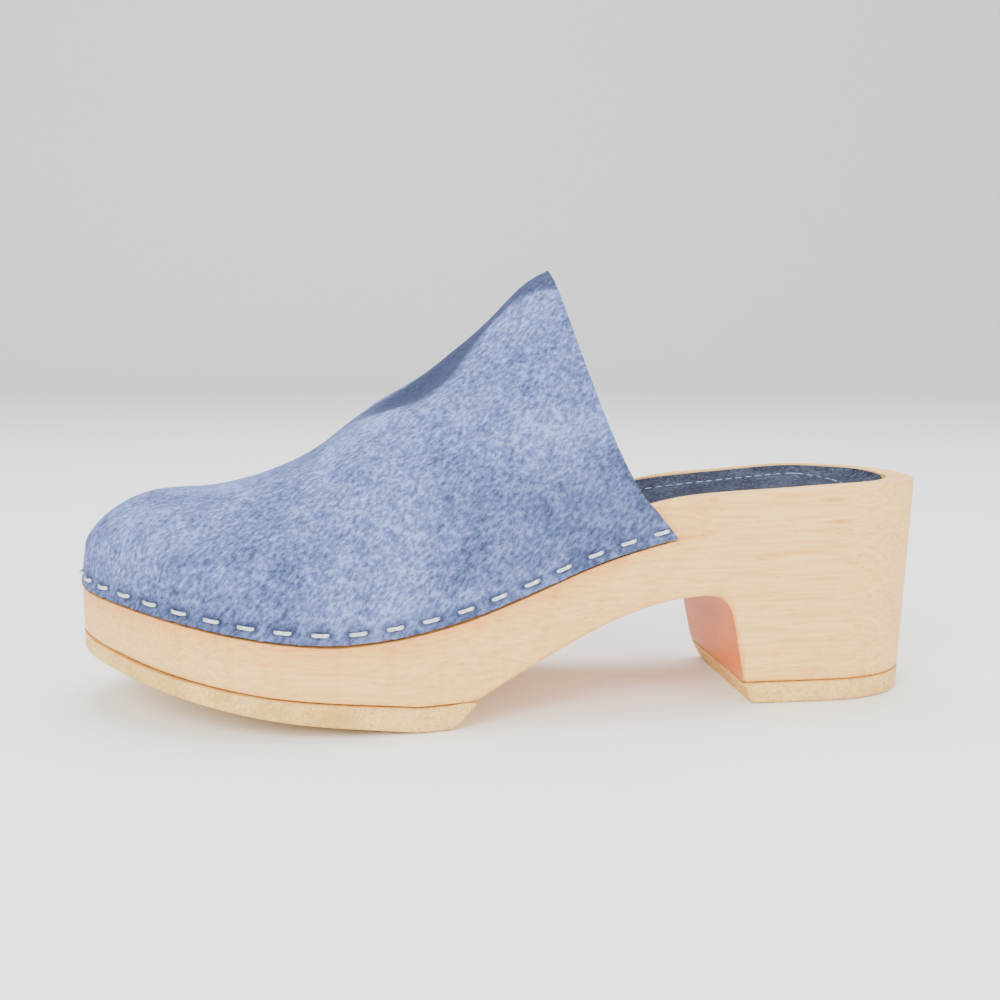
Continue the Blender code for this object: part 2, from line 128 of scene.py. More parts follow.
def add_node(tree, kind, inputs=None, stops=None, **settings):
    """Adds a node with its settings; an input is a value or another node's output."""
    made = tree.nodes.new(kind)
    for name, value in settings.items():
        setattr(made, name, value)
    for place, (position, value) in enumerate(stops or ()):
        if place >= len(made.color_ramp.elements):
            made.color_ramp.elements.new(position)
        made.color_ramp.elements[place].position = position
        made.color_ramp.elements[place].color = value
    for name, value in (inputs or {}).items():
        socket = made.inputs[name]
        if isinstance(value, bpy.types.NodeSocket):
            tree.links.new(value, socket)
        else:
            socket.default_value = value
    return made


def grey(value):
    """Opaque grey for a ramp."""
    return (value, value, value, 1.0)


def new_material(name):
    """An empty material with its shader, and the coordinates fixed to the piece."""
    made = bpy.data.materials.new(name)
    made.use_nodes = True
    tree = made.node_tree
    shader = tree.nodes["Principled BSDF"]
    coordinates = add_node(tree, "ShaderNodeTexCoord").outputs["Object"]
    return made, tree, shader, coordinates


def brushed_suede(name, dark, middle, light, nap_size, sheen):
    """Split leather, brushed: a short matt nap that goes light or dark with the way it lies."""
    made, tree, shader, place = new_material(name)
    # Broad patches where a hand has brushed the nap
    patches = add_node(tree, "ShaderNodeTexNoise", {
        "Vector": place, "Scale": 1 / (24 * MM), "Detail": 2.0, "Roughness": 0.5, "Distortion": 0.3})
    patch_tone = add_node(tree, "ShaderNodeMapRange", {
        "Value": patches.outputs["Fac"], "From Min": 0.3, "From Max": 0.7, "To Min": 0.30, "To Max": 0.70})
    mottle = add_node(tree, "ShaderNodeTexNoise", {
        "Vector": place, "Scale": 1 / (5 * MM), "Detail": 3.0, "Roughness": 0.6})
    mottle_share = add_node(tree, "ShaderNodeMapRange", {
        "Value": mottle.outputs["Fac"], "From Min": 0.3, "From Max": 0.7, "To Min": -0.16, "To Max": 0.16})
    tone = add_node(tree, "ShaderNodeMath", {
        0: patch_tone.outputs["Result"], 1: mottle_share.outputs["Result"]}, operation="ADD")
    # The nap's short fibres lie on a slant, up and back
    slant = add_node(tree, "ShaderNodeMapping", {
        "Vector": place, "Rotation": (0.0, math.radians(-48), 0.0), "Scale": (1.9, 1.0, 1.0)},
        vector_type="TEXTURE")
    nap = add_node(tree, "ShaderNodeTexNoise", {
        "Vector": slant.outputs["Vector"], "Scale": 1 / nap_size, "Detail": 2.0, "Roughness": 0.65})
    nap_share = add_node(tree, "ShaderNodeMapRange", {
        "Value": nap.outputs["Fac"], "From Min": 0.3, "From Max": 0.7, "To Min": -0.42, "To Max": 0.42})
    speckled = add_node(tree, "ShaderNodeMath", {
        0: tone.outputs["Value"], 1: nap_share.outputs["Result"]}, operation="ADD", use_clamp=True)
    colour = add_node(tree, "ShaderNodeValToRGB", {"Fac": speckled.outputs["Value"]}, [
        (0.0, hex_to_linear(dark)), (0.5, hex_to_linear(middle)), (1.0, hex_to_linear(light))])
    # Faint pale scratches drawn through the nap
    drawn = add_node(tree, "ShaderNodeMapping", {
        "Vector": place, "Rotation": (0.2, math.radians(-60), 0.3), "Scale": (9.0, 1.0, 1.0)},
        vector_type="TEXTURE")
    scratches = add_node(tree, "ShaderNodeTexNoise", {
        "Vector": drawn.outputs["Vector"], "Scale": 1 / (1.6 * MM), "Detail": 1.0, "Roughness": 0.5})
    scratch_share = add_node(tree, "ShaderNodeValToRGB", {"Fac": scratches.outputs["Fac"]},
                             [(0.70, grey(0.0)), (0.80, grey(0.45))])
    scratched = add_node(tree, "ShaderNodeMix", {
        "Factor": scratch_share.outputs["Color"], "A": colour.outputs["Color"],
        "B": hex_to_linear(light)}, data_type="RGBA")
    # Shade holds painted shade: the shaded crest hollow, throat and vamp, the painted shadow round the
    # staples, and the strip below the staple line made darker
    shade = add_node(tree, "ShaderNodeAttribute", attribute_name="shade")
    painted_shade_tone = add_node(tree, "ShaderNodeMix", {
        "Factor": nap.outputs["Fac"], "A": hex_to_linear(PAINTED_SHADE_NAP), "B": hex_to_linear(dark)},
        data_type="RGBA")
    shaded = add_node(tree, "ShaderNodeMix", {
        "Factor": shade.outputs["Fac"], "A": scratched.outputs["Result"],
        "B": painted_shade_tone.outputs["Result"]}, data_type="RGBA")
    tree.links.new(shaded.outputs["Result"], shader.inputs["Base Color"])
    bump = add_node(tree, "ShaderNodeBump", {
        "Height": nap.outputs["Fac"], "Strength": 1.0, "Distance": 0.6 * MM})
    tree.links.new(bump.outputs["Normal"], shader.inputs["Normal"])
    shader.inputs["Roughness"].default_value = 0.95
    shader.inputs["Specular IOR Level"].default_value = 0.15
    shader.inputs["Sheen Weight"].default_value = sheen
    shader.inputs["Sheen Roughness"].default_value = 0.45
    shader.inputs["Sheen Tint"].default_value = hex_to_linear(light)
    return made


# Near-black nap colour for painted shade and painted shadow on the suede
PAINTED_SHADE_NAP = "#14161E"


def sanded_alder(name, pale, warm, line, dark, shade_tint):
    """Alder block, sanded and sealed: close lengthwise grain, faint rings and a satin skin."""
    made, tree, shader, place = new_material(name)
    # Fibres as fine streaks, long along the block and wavering a little
    waver = add_node(tree, "ShaderNodeTexNoise", {"Vector": place, "Scale": 1 / (60 * MM), "Detail": 1.0})
    bent = add_node(tree, "ShaderNodeVectorMath", {0: waver.outputs["Color"], 1: (0.0, 0.0, 5 * MM)},
                    operation="MULTIPLY")
    grain_place = add_node(tree, "ShaderNodeVectorMath", {0: place, 1: bent.outputs["Vector"]},
                           operation="ADD")
    along = add_node(tree, "ShaderNodeMapping", {
        "Vector": grain_place.outputs["Vector"], "Scale": (0.045, 1.0, 1.0)})
    fibres = add_node(tree, "ShaderNodeTexNoise", {
        "Vector": along.outputs["Vector"], "Scale": 1 / (0.9 * MM), "Detail": 4.0, "Roughness": 0.65})
    fibre_share = add_node(tree, "ShaderNodeMapRange", {
        "Value": fibres.outputs["Fac"], "From Min": 0.40, "From Max": 0.72, "To Min": 0.0, "To Max": 0.75})
    broad = add_node(tree, "ShaderNodeTexNoise", {
        "Vector": along.outputs["Vector"], "Scale": 1 / (5.5 * MM), "Detail": 2.0, "Roughness": 0.5})
    # Growth rings that arch over the heel
    arched = add_node(tree, "ShaderNodeMapping", {
        "Vector": grain_place.outputs["Vector"],
        "Location": (-RING_CORE[0] * LENGTH, 0.0, -RING_CORE[1] * HEIGHT), "Scale": (1.0, 0.12, 1.0)})
    rings = add_node(tree, "ShaderNodeTexWave", {
        "Vector": arched.outputs["Vector"], "Scale": WAVE_TURN / RING_SPACING, "Distortion": 0.8,
        "Detail": 1.0, "Detail Scale": 1.2}, wave_type="RINGS", rings_direction="Y")
    ring_share = add_node(tree, "ShaderNodeValToRGB", {"Fac": rings.outputs["Fac"]},
                          [(0.90, grey(0.0)), (1.0, grey(0.16))])
    tone = add_node(tree, "ShaderNodeMath", {
        0: fibre_share.outputs["Result"], 1: ring_share.outputs["Color"]}, operation="ADD",
        use_clamp=True)
    base = add_node(tree, "ShaderNodeMix", {
        "Factor": broad.outputs["Fac"], "A": hex_to_linear(pale), "B": hex_to_linear(warm)},
        data_type="RGBA")
    lined = add_node(tree, "ShaderNodeMix", {
        "Factor": tone.outputs["Value"], "A": base.outputs["Result"], "B": hex_to_linear(line)},
        data_type="RGBA")
    # Pores, as short dark dashes along the grain
    dashed = add_node(tree, "ShaderNodeMapping", {
        "Vector": grain_place.outputs["Vector"], "Scale": (0.14, 1.0, 1.0)})
    pores = add_node(tree, "ShaderNodeTexNoise", {
        "Vector": dashed.outputs["Vector"], "Scale": 1 / (0.6 * MM), "Detail": 1.0, "Roughness": 0.5})
    pore_share = add_node(tree, "ShaderNodeValToRGB", {"Fac": pores.outputs["Fac"]},
                          [(0.67, grey(0.0)), (0.80, grey(0.5))])
    pored = add_node(tree, "ShaderNodeMix", {
        "Factor": pore_share.outputs["Color"], "A": lined.outputs["Result"],
        "B": hex_to_linear(dark)}, data_type="RGBA")
    # Shade holds painted shade, in a warm tint: the downward faces, the heel breast facing the toe and the
    # band under the suede's edge
    shade = add_node(tree, "ShaderNodeAttribute", attribute_name="shade")
    shaded_wood = add_node(tree, "ShaderNodeMix", {
        "Factor": shade.outputs["Fac"], "A": pored.outputs["Result"], "B": hex_to_linear(shade_tint)},
        data_type="RGBA", blend_type="MULTIPLY")
    marked = shaded_wood.outputs["Result"]
    for mark in MARKS:
        centre = (mark.x * LENGTH, mark.y * WIDTH, mark.z * HEIGHT)
        near = add_node(tree, "ShaderNodeMapping", {
            "Vector": place, "Location": tuple(-c * s for c, s in zip(centre, mark_scale(mark))),
            "Scale": mark_scale(mark)})
        away = add_node(tree, "ShaderNodeVectorMath", {0: near.outputs["Vector"]}, operation="LENGTH")
        spot = add_node(tree, "ShaderNodeMapRange", {
            "Value": away.outputs["Value"], "From Min": 0.2, "From Max": 1.0,
            "To Min": mark.strength, "To Max": 0.0})
        marked = add_node(tree, "ShaderNodeMix", {
            "Factor": spot.outputs["Result"], "A": marked, "B": hex_to_linear(dark)},
            data_type="RGBA").outputs["Result"]
    tree.links.new(marked, shader.inputs["Base Color"])
    bump = add_node(tree, "ShaderNodeBump", {
        "Height": fibres.outputs["Fac"], "Strength": 0.5, "Distance": 0.15 * MM})
    tree.links.new(bump.outputs["Normal"], shader.inputs["Normal"])
    rough = add_node(tree, "ShaderNodeMapRange", {
        "Value": fibres.outputs["Fac"], "To Min": 0.38, "To Max": 0.55})
    tree.links.new(rough.outputs["Result"], shader.inputs["Roughness"])
    shader.inputs["Specular IOR Level"].default_value = 0.45
    return made


# The growth rings' core, as shares of length and height, and their spacing. A wave texture turns
# once in 0.314 of its own units
RING_CORE = (0.328, 0.111)
RING_SPACING = 14 * MM
WAVE_TURN = math.pi / 10

# Small marks in the wood, given as shares of length, width and height, with their length
# and height in millimetres
Mark = namedtuple("Mark", "x y z long tall strength")
MARKS = (
    Mark(0.362, -0.340, 0.478, 5.5, 0.9, 0.55),
    Mark(0.370, -0.340, 0.428, 5.0, 1.2, 0.35),
    Mark(0.300, -0.340, 0.300, 1.2, 0.8, 0.5),
    Mark(-0.330, 0.420, 0.215, 6.0, 2.0, 0.5),
)


def mark_scale(mark):
    """Scale that makes a mark's own size the unit, and fades it 6 mm into the wood."""
    return (1 / (mark.long * MM), 1 / (6 * MM), 1 / (mark.tall * MM))


def pebbled_rubber(name, light, deep):
    """Honey sole rubber, moulded: a fine pebbled skin with a soft dull shine."""
    made, tree, shader, place = new_material(name)
    pebbles = add_node(tree, "ShaderNodeTexVoronoi", {
        "Vector": place, "Scale": 1 / (1.1 * MM), "Randomness": 1.0}, feature="SMOOTH_F1")
    grain = add_node(tree, "ShaderNodeTexNoise", {
        "Vector": place, "Scale": 1 / (0.8 * MM), "Detail": 2.0, "Roughness": 0.6})
    cloud = add_node(tree, "ShaderNodeTexNoise", {
        "Vector": place, "Scale": 1 / (14 * MM), "Detail": 3.0, "Roughness": 0.6})
    tone = add_node(tree, "ShaderNodeMath", {
        0: cloud.outputs["Fac"], 1: grain.outputs["Fac"]}, operation="MULTIPLY")
    colour = add_node(tree, "ShaderNodeValToRGB", {"Fac": tone.outputs["Value"]}, [
        (0.12, hex_to_linear(deep)), (0.32, hex_to_linear(light))])
    tree.links.new(colour.outputs["Color"], shader.inputs["Base Color"])
    skin = add_node(tree, "ShaderNodeMath", {
        0: pebbles.outputs["Distance"], 1: grain.outputs["Fac"]}, operation="ADD")
    # Underneath, rows of short moulded dashes for grip
    rows = add_node(tree, "ShaderNodeTexBrick", {
        "Vector": place, "Scale": 1.0, "Color1": grey(0.0), "Color2": grey(0.0), "Mortar": grey(1.0),
        "Mortar Size": 0.5 * MM, "Mortar Smooth": 0.3, "Brick Width": 6 * MM, "Row Height": 2.4 * MM})
    under = add_node(tree, "ShaderNodeAttribute", attribute_name="under")
    grip = add_node(tree, "ShaderNodeMath", {
        0: rows.outputs["Color"], 1: under.outputs["Fac"]}, operation="MULTIPLY")
    height = add_node(tree, "ShaderNodeMath", {
        0: grip.outputs["Value"], 1: -2.5, 2: skin.outputs["Value"]}, operation="MULTIPLY_ADD")
    bump = add_node(tree, "ShaderNodeBump", {
        "Height": height.outputs["Value"], "Strength": 0.7, "Distance": 0.25 * MM})
    tree.links.new(bump.outputs["Normal"], shader.inputs["Normal"])
    shader.inputs["Roughness"].default_value = 0.65
    shader.inputs["Specular IOR Level"].default_value = 0.35
    return made


def staple_wire(name, tone):
    """Galvanised wire, drawn and flattened: dull, bright and slightly scuffed."""
    made, tree, shader, place = new_material(name)
    scuffs = add_node(tree, "ShaderNodeTexNoise", {
        "Vector": place, "Scale": 1 / (0.8 * MM), "Detail": 2.0, "Roughness": 0.6})
    rough = add_node(tree, "ShaderNodeMapRange", {
        "Value": scuffs.outputs["Fac"], "To Min": 0.28, "To Max": 0.55})
    tree.links.new(rough.outputs["Result"], shader.inputs["Roughness"])
    shader.inputs["Base Color"].default_value = hex_to_linear(tone)
    shader.inputs["Metallic"].default_value = 1.0
    return made


def spun_thread(name, tone, dark):
    """Polyester topstitching thread, spun: two plies with a faint lustre."""
    made, tree, shader, place = new_material(name)
    plies = add_node(tree, "ShaderNodeTexNoise", {
        "Vector": place, "Scale": 1 / (0.35 * MM), "Detail": 2.0})
    colour = add_node(tree, "ShaderNodeValToRGB", {"Fac": plies.outputs["Fac"]}, [
        (0.35, hex_to_linear(dark)), (0.65, hex_to_linear(tone))])
    tree.links.new(colour.outputs["Color"], shader.inputs["Base Color"])
    shader.inputs["Roughness"].default_value = 0.6
    return made


def merged_copy(node):
    """A node's mesh with its loose triangles merged and paired back into quads."""
    mesh_data = bmesh.new()
    mesh_data.from_mesh(NODES[node].data)
    bmesh.ops.remove_doubles(mesh_data, verts=mesh_data.verts, dist=2e-6)
    bmesh.ops.join_triangles(mesh_data, faces=mesh_data.faces, angle_face_threshold=math.radians(50),
                             angle_shape_threshold=math.radians(179))
    return mesh_data


# Angles in degrees from which an edge starts to be held sharp, and where it is fully sharp
CUT_CORNERS = (28.0, 75.0)
SUEDE_CORNERS = (40.0, 110.0)
PAD_CORNERS = (60.0, 120.0)


def hold_corners(mesh_data, soft, hard):
    """Creases the edges, from none at the soft angle to full at the hard one."""
    layer = mesh_data.edges.layers.float.new("crease_edge")
    for edge in mesh_data.edges:
        bend = math.degrees(edge.calc_face_angle(0.0))
        edge[layer] = min(max((bend - soft) / (hard - soft), 0.0), 1.0)


def subdivided(name, mesh_data, levels):
    """The mesh smoothed and cut finer, as a new bmesh."""
    mesh = bpy.data.meshes.new(name)
    mesh_data.to_mesh(mesh)
    mesh_data.free()
    cage = bpy.data.objects.new(name, mesh)
    bpy.context.scene.collection.objects.link(cage)
    finer = cage.modifiers.new("finer", "SUBSURF")
    finer.levels = levels
    finer.render_levels = levels
    depsgraph = bpy.context.evaluated_depsgraph_get()
    smooth = bpy.data.meshes.new_from_object(cage.evaluated_get(depsgraph))
    bpy.data.objects.remove(cage, do_unlink=True)
    result = bmesh.new()
    result.from_mesh(smooth)
    bpy.data.meshes.remove(smooth)
    return result


def finish_piece(name, mesh_data, surface, replaces=(), sharp=40.0):
    """Turn a bmesh into a piece on the clog's body, with its finish."""
    mesh = bpy.data.meshes.new(name)
    mesh_data.to_mesh(mesh)
    mesh_data.free()
    mesh.shade_smooth()
    mesh.set_sharp_from_angle(angle=math.radians(sharp))
    mesh.materials.append(surface)
    piece = bpy.data.objects.new(name, mesh)
    bpy.context.scene.collection.objects.link(piece)
    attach(piece, "root")
    if replaces:
        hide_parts(*replaces)
    return piece


def fall_off(distance, reach):
    """Soft bell from 1 at the middle to nearly 0 past twice the reach."""
    return math.exp(-(distance / reach) ** 2)


def patch_share(distance, reach):
    """1 well inside the reach, falling softly to 0 just outside it."""
    share = min(max((1.25 - distance / reach) / 0.5, 0.0), 1.0)
    return share * share * (3 - 2 * share)


def staple_frames():
    """Each staple's middle, and its directions along the edge, outward and up."""
    frames = []
    for name in STAPLES:
        points = [vertex.co for vertex in NODES[name].data.vertices]
        middle = sum(points, Vector()) / len(points)
        far = max(points, key=lambda point: (point - middle).length)
        ends = [point for point in points if (point - middle).dot(far - middle) > 0]
        along = (sum(ends, Vector()) / len(ends) - middle).normalized()
        if along.x > 0:
            along.negate()
        inside = Vector((max(middle.x, UPPER_LOW.x + WIDTH / 2), 0.0, middle.z))
        outward = middle - inside
        outward -= along * outward.dot(along)
        outward.normalize()
        frames.append((name, middle, along, outward, along.cross(outward).normalized()))
    return frames


def outward_at(point):
    """Direction out of the upper at a point, from a line inside the shoe."""
    core_x = max(point.x, UPPER_LOW.x + 0.30 * WIDTH)
    core_z = SOLE_HIGH.z * 0.62
    core = Vector((core_x, 0.02 * WIDTH, core_z))
    return (point - core).normalized()


def chains_of(table):
    """A table's rows as chains of points in metres, by name, each with its reach and its amount."""
    chains = {}
    for name, x, y, z, reach, amount in table:
        place = Vector((x * LENGTH, y * WIDTH, z * HEIGHT))
        chains.setdefault(name, []).append((place, reach * MM, amount))
    return chains


def nearest_on(point, chain):
    """Distance to a chain of points, with the chain's reach and amount at the nearest place."""
    best = (1e9, 1.0, 0.0)
    for (start, reach, amount), (end, end_reach, end_amount) in zip(chain, chain[1:]):
        run = end - start
        share = min(max((point - start).dot(run) / run.length_squared, 0.0), 1.0)
        distance = (point - start - run * share).length
        if distance < best[0]:
            best = (distance, reach + (end_reach - reach) * share, amount + (end_amount - amount) * share)
    return best


class ClogSizes(bpy.types.PropertyGroup):
    """Sizes of the fine detail."""

    nap: bpy.props.FloatProperty(
        name="Nap", description="Size of the suede's grain", default=1.0 * MM, unit="LENGTH")
    pucker: bpy.props.FloatProperty(
        name="Pucker", description="How deep a staple pulls the suede in", default=1.1 * MM,
        unit="LENGTH")
    wire: bpy.props.FloatProperty(
        name="Wire", description="Thickness of the staple wire", default=1.0 * MM, unit="LENGTH")
    crown: bpy.props.FloatProperty(
        name="Crown", description="Length of a staple's crown", default=4.9 * MM, unit="LENGTH")
    stitch: bpy.props.FloatProperty(
        name="Stitch", description="Length of a stitch in the insole", default=2.4 * MM,
        unit="LENGTH")
    stitch_gap: bpy.props.FloatProperty(
        name="Stitch gap", description="Space between stitches", default=1.0 * MM, unit="LENGTH")
    stitch_inset: bpy.props.FloatProperty(
        name="Stitch inset", description="From the insole's edge to its topstitching",
        default=10.0 * MM, unit="LENGTH")


class ClogColours(bpy.types.PropertyGroup):
    """Colours of the finishes, as sRGB hex codes."""

    suede_dark: bpy.props.StringProperty(
        name="Suede dark", description="Nap brushed away", default="#3E4768")
    suede_middle: bpy.props.StringProperty(
        name="Suede", description="The suede's own colour", default="#5F6F9F")
    suede_light: bpy.props.StringProperty(
        name="Suede light", description="Nap brushed up", default="#8A9BD2")
    wood_pale: bpy.props.StringProperty(
        name="Wood pale", description="Early wood", default="#FAD480")
    wood_warm: bpy.props.StringProperty(
        name="Wood warm", description="Late wood", default="#F4C26E")
    wood_line: bpy.props.StringProperty(
        name="Wood line", description="Fine grain lines", default="#E0A050")
    wood_dark: bpy.props.StringProperty(
        name="Wood dark", description="Pores and small marks", default="#A0622C")
    # Warm tint for the wood's painted shade on the heel breast, the downward faces and under the suede
    wood_shade_tint: bpy.props.StringProperty(
        name="Wood stain", description="Warm tint of cut faces and under the suede", default="#E8954C")
    rubber_light: bpy.props.StringProperty(
        name="Rubber light", description="The rubber's own colour", default="#EFC878")
    rubber_deep: bpy.props.StringProperty(
        name="Rubber deep", description="The rubber's hollows", default="#CFA050")
    wire: bpy.props.StringProperty(
        name="Wire", description="Galvanised wire", default="#D5D8DC")
    thread: bpy.props.StringProperty(
        name="Thread", description="Topstitching", default="#8C94A8")


class CLOG_OT_wooden_sole(bpy.types.Operator):
    """Finish the wooden sole: softened edges, grain, and painted shade on the breast, underside and under
    the suede
    """

    bl_idname = "clog.wooden_sole"
    bl_label = "Wooden sole"

    def execute(self, context):
        colours = context.scene.clog_colours
        mesh_data = merged_copy("wooden_sole")
        hold_corners(mesh_data, *CUT_CORNERS)
        mesh_data = subdivided("wooden_sole", mesh_data, 2)
        layer = mesh_data.verts.layers.float.new("shade")
        mesh_data.normal_update()
        suede = merged_copy("suede_upper")
        suede_tree = BVHTree.FromBMesh(suede)
        suede.free()
        arch_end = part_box("heel_lift")[0].x
        # Painted shade: darker on faces turned down, on the heel breast, and in a band under the suede's
        # edge
        for vertex in mesh_data.verts:
            on_breast = arch_end - 20 * MM < vertex.co.x < arch_end + 4 * MM
            breast = max(-vertex.normal.x, 0.0) if on_breast else 0.0
            near = suede_tree.find_nearest(vertex.co, 9 * MM)
            tint = 0.0 if near[0] is None else 0.5 * (1 - near[3] / (9 * MM)) ** 1.5
            if vertex.co.x > 0.12 * LENGTH:
                tint *= 0.5
            vertex[layer] = min(0.25 * max(-vertex.normal.z, 0.0) + 0.95 * breast + tint, 1.0)
        wood = sanded_alder("sanded alder", colours.wood_pale, colours.wood_warm, colours.wood_line,
                            colours.wood_dark, colours.wood_shade_tint)
        finish_piece("sole_of_sanded_alder", mesh_data, wood, ["wooden_sole"])
        return {"FINISHED"}


# A face whose normal rises more than this is a tread's top, and an edge longer than this is an end
TOP_FACE = 0.7
END_EDGE = 20 * MM


def raise_lip(mesh_data, gap, rise):
    """Bring a tread's top up to the wood, with a lip that fills the wood's softened edge."""
    top = [face for face in mesh_data.faces if face.normal.z > TOP_FACE]
    rim = {vertex for face in top for vertex in face.verts}
    ends = set()
    for face in top:
        for edge in face.edges:
            tops = [other for other in edge.link_faces if other.normal.z > TOP_FACE]
            if len(tops) == 1 and edge.calc_length() > END_EDGE:
                ends.update(edge.verts)
    bmesh.ops.inset_region(mesh_data, faces=top, thickness=rise, use_even_offset=True, use_boundary=True)
    for face in top:
        for vertex in face.verts:
            vertex.tag = True
    for vertex in mesh_data.verts:
        if vertex.tag:
            vertex.co.z += gap
        elif vertex in rim:
            vertex.co.z += gap if vertex in ends else gap + rise


class CLOG_OT_treads(bpy.types.Operator):
    """Finish the two rubber treads, trimmed flush with the wood"""

    bl_idname = "clog.treads"
    bl_label = "Rubber treads"

    def execute(self, context):
        colours = context.scene.clog_colours
        rubber = pebbled_rubber("pebbled sole rubber", colours.rubber_light, colours.rubber_deep)
        for node, name, slot in (("forepart_tread", "tread_under_forepart", "tread_rubber"),
                                 ("heel_lift", "lift_under_heel", "lift_rubber")):
            mesh_data = merged_copy(node)
            mesh_data.normal_update()
            raise_lip(mesh_data, 0.25 * MM, 0.7 * MM)
            mesh_data.normal_update()
            hold_corners(mesh_data, *CUT_CORNERS)
            mesh_data = subdivided(name, mesh_data, 2)
            mesh_data.normal_update()
            layer = mesh_data.verts.layers.float.new("under")
            for vertex in mesh_data.verts:
                vertex[layer] = 1.0 if vertex.normal.z < -0.85 else 0.0
            finish_piece(name, mesh_data, rubber, [node])
        return {"FINISHED"}


class CLOG_OT_insole(bpy.types.Operator):
    """Finish the padded insole"""

    bl_idname = "clog.insole"
    bl_label = "Insole"

    def execute(self, context):
        colours = context.scene.clog_colours
        mesh_data = merged_copy("insole")
        hold_corners(mesh_data, *PAD_CORNERS)
        mesh_data = subdivided("insole_pad", mesh_data, 2)
        suede = brushed_suede("insole suede", "#141620", "#282D3C", "#4A5166", 0.8 * MM, 0.2)
        piece = finish_piece("insole_pad", mesh_data, suede, ["insole"])
        return {"FINISHED"}


def cut_finer(mesh_data, staples):
    """Halve the faces round the staples, so that their puckers come out round."""
    near = set()
    for vertex in mesh_data.verts:
        _, _, distance = staples.find(vertex.co)
        if distance < 6.5 * MM:
            near.add(vertex)
    edges = [edge for edge in mesh_data.edges if edge.verts[0] in near and edge.verts[1] in near]
    bmesh.ops.subdivide_edges(mesh_data, edges=edges, cuts=1, use_grid_fill=True)


class CLOG_OT_upper(bpy.types.Operator):
    """Finish the suede upper: slack folds, staple puckers and the raw cut edge"""

    bl_idname = "clog.upper"
    bl_label = "Suede upper"

    def execute(self, context):
        sizes = context.scene.clog_sizes
        colours = context.scene.clog_colours
        frames = staple_frames()
        staples = KDTree(len(frames))
        for number, (_, middle, _, _, _) in enumerate(frames):
            staples.insert(middle, number)
        staples.balance()
        mesh_data = merged_copy("suede_upper")
        hold_corners(mesh_data, *SUEDE_CORNERS)
        mesh_data = subdivided("upper_of_brushed_suede", mesh_data, 2)
        cut_finer(mesh_data, staples)
        layer = mesh_data.verts.layers.float.new("shade")
        mesh_data.normal_update()
        folds = chains_of(FOLDS)
        painted_shade_chains = chains_of(PAINTED_SHADE_PATCHES)
        moves = []
        for vertex in mesh_data.verts:
            point = vertex.co.copy()
            depth = 0.0
            for chain in folds.values():
                distance, reach, amount = nearest_on(point, chain)
                depth += amount * MM * fall_off(distance, reach)
            shade = 0.0
            # Painted shade over the crest's hollow and the throat and vamp, carried in the shade attribute
            for chain in painted_shade_chains.values():
                distance, reach, amount = nearest_on(point, chain)
                shade = max(shade, amount * patch_share(distance, reach))
            move = outward_at(point) * -depth
            for _, number, distance in staples.find_n(point, 2):
                _, middle, along, outward, up = frames[number]
                if distance > 10 * MM or vertex.normal.dot(outward) < 0.3:
                    continue
                away = point - middle
                side, height = away.dot(along), away.dot(up)
                ends = fall_off(math.hypot(abs(side) - sizes.crown / 2, height), 1.3 * MM)
                groove = fall_off(height, 1.7 * MM) * fall_off(side, 5.5 * MM)
                staple_shadow = fall_off(math.hypot(max(abs(side) - sizes.crown / 2, 0.0), height), 1.9 * MM)
                puff = fall_off(math.hypot(abs(side) - 5 * MM, height - 3.2 * MM), 2.2 * MM)
                low = 1.0 if height < -1.2 * MM else 0.0
                move -= outward * (sizes.pucker * max(ends, 0.35 * groove) - 0.25 * MM * puff) * 0.6
                # Painted shadow in the puckers and round the staples, painted shade along their groove,
                # and the strip below the staple line made darker
                shade = max(shade, 0.95 * ends, 0.75 * staple_shadow, 0.45 * groove, 0.40 * low)
                if height < -2.0 * MM:
                    ragged = noise.noise(point / (1.5 * MM))
                    move += up * ragged * 0.22 * MM
            moves.append((vertex, move, min(shade, 1.0)))
        for vertex, move, shade in moves:
            vertex.co += move
            vertex[layer] = shade
        suede = brushed_suede("brushed suede", colours.suede_dark, colours.suede_middle,
                              colours.suede_light, sizes.nap, 0.25)
        finish_piece("upper_of_brushed_suede", mesh_data, suede, ["suede_upper"])
        return {"FINISHED"}


class CLOG_OT_staples(bpy.types.Operator):
    """Bend the wire staples into their puckers"""

    bl_idname = "clog.staples"
    bl_label = "Staples"

    def execute(self, context):
        sizes = context.scene.clog_sizes
        steel = staple_wire("galvanised wire", context.scene.clog_colours.wire)
        for name, middle, along, outward, up in staple_frames():
            mesh_data = bmesh.new()
            bmesh.ops.create_cube(mesh_data, size=1.0)
            bmesh.ops.scale(mesh_data, vec=(sizes.crown, sizes.wire * 0.7, sizes.wire),
                            verts=mesh_data.verts)
            across = [edge for edge in mesh_data.edges
                      if abs(edge.verts[0].co.x - edge.verts[1].co.x) > 1e-5]
            bmesh.ops.subdivide_edges(mesh_data, edges=across, cuts=6, use_grid_fill=True)
            half = sizes.crown / 2
            for vertex in mesh_data.verts:
                share = abs(vertex.co.x) / half
                vertex.co.y -= 0.9 * MM * max(share - 0.55, 0.0) ** 1.6 / 0.45 ** 1.6
            corners = [edge for edge in mesh_data.edges if edge.calc_face_angle(0.0) > 0.9]
            bmesh.ops.bevel(mesh_data, geom=corners, offset=sizes.wire * 0.25, segments=2,
                            profile=0.5, affect="EDGES", clamp_overlap=True, material=-1)
            turn = Matrix((along, outward, up)).transposed().to_4x4()
            sunk = middle - outward * 0.45 * MM
            bmesh.ops.transform(mesh_data, matrix=Matrix.Translation(sunk) @ turn, verts=mesh_data.verts)
            bmesh.ops.recalc_face_normals(mesh_data, faces=mesh_data.faces)
            finish_piece(name.replace("staple", "wire_staple"), mesh_data, steel,
                         [name], 50.0)
        return {"FINISHED"}


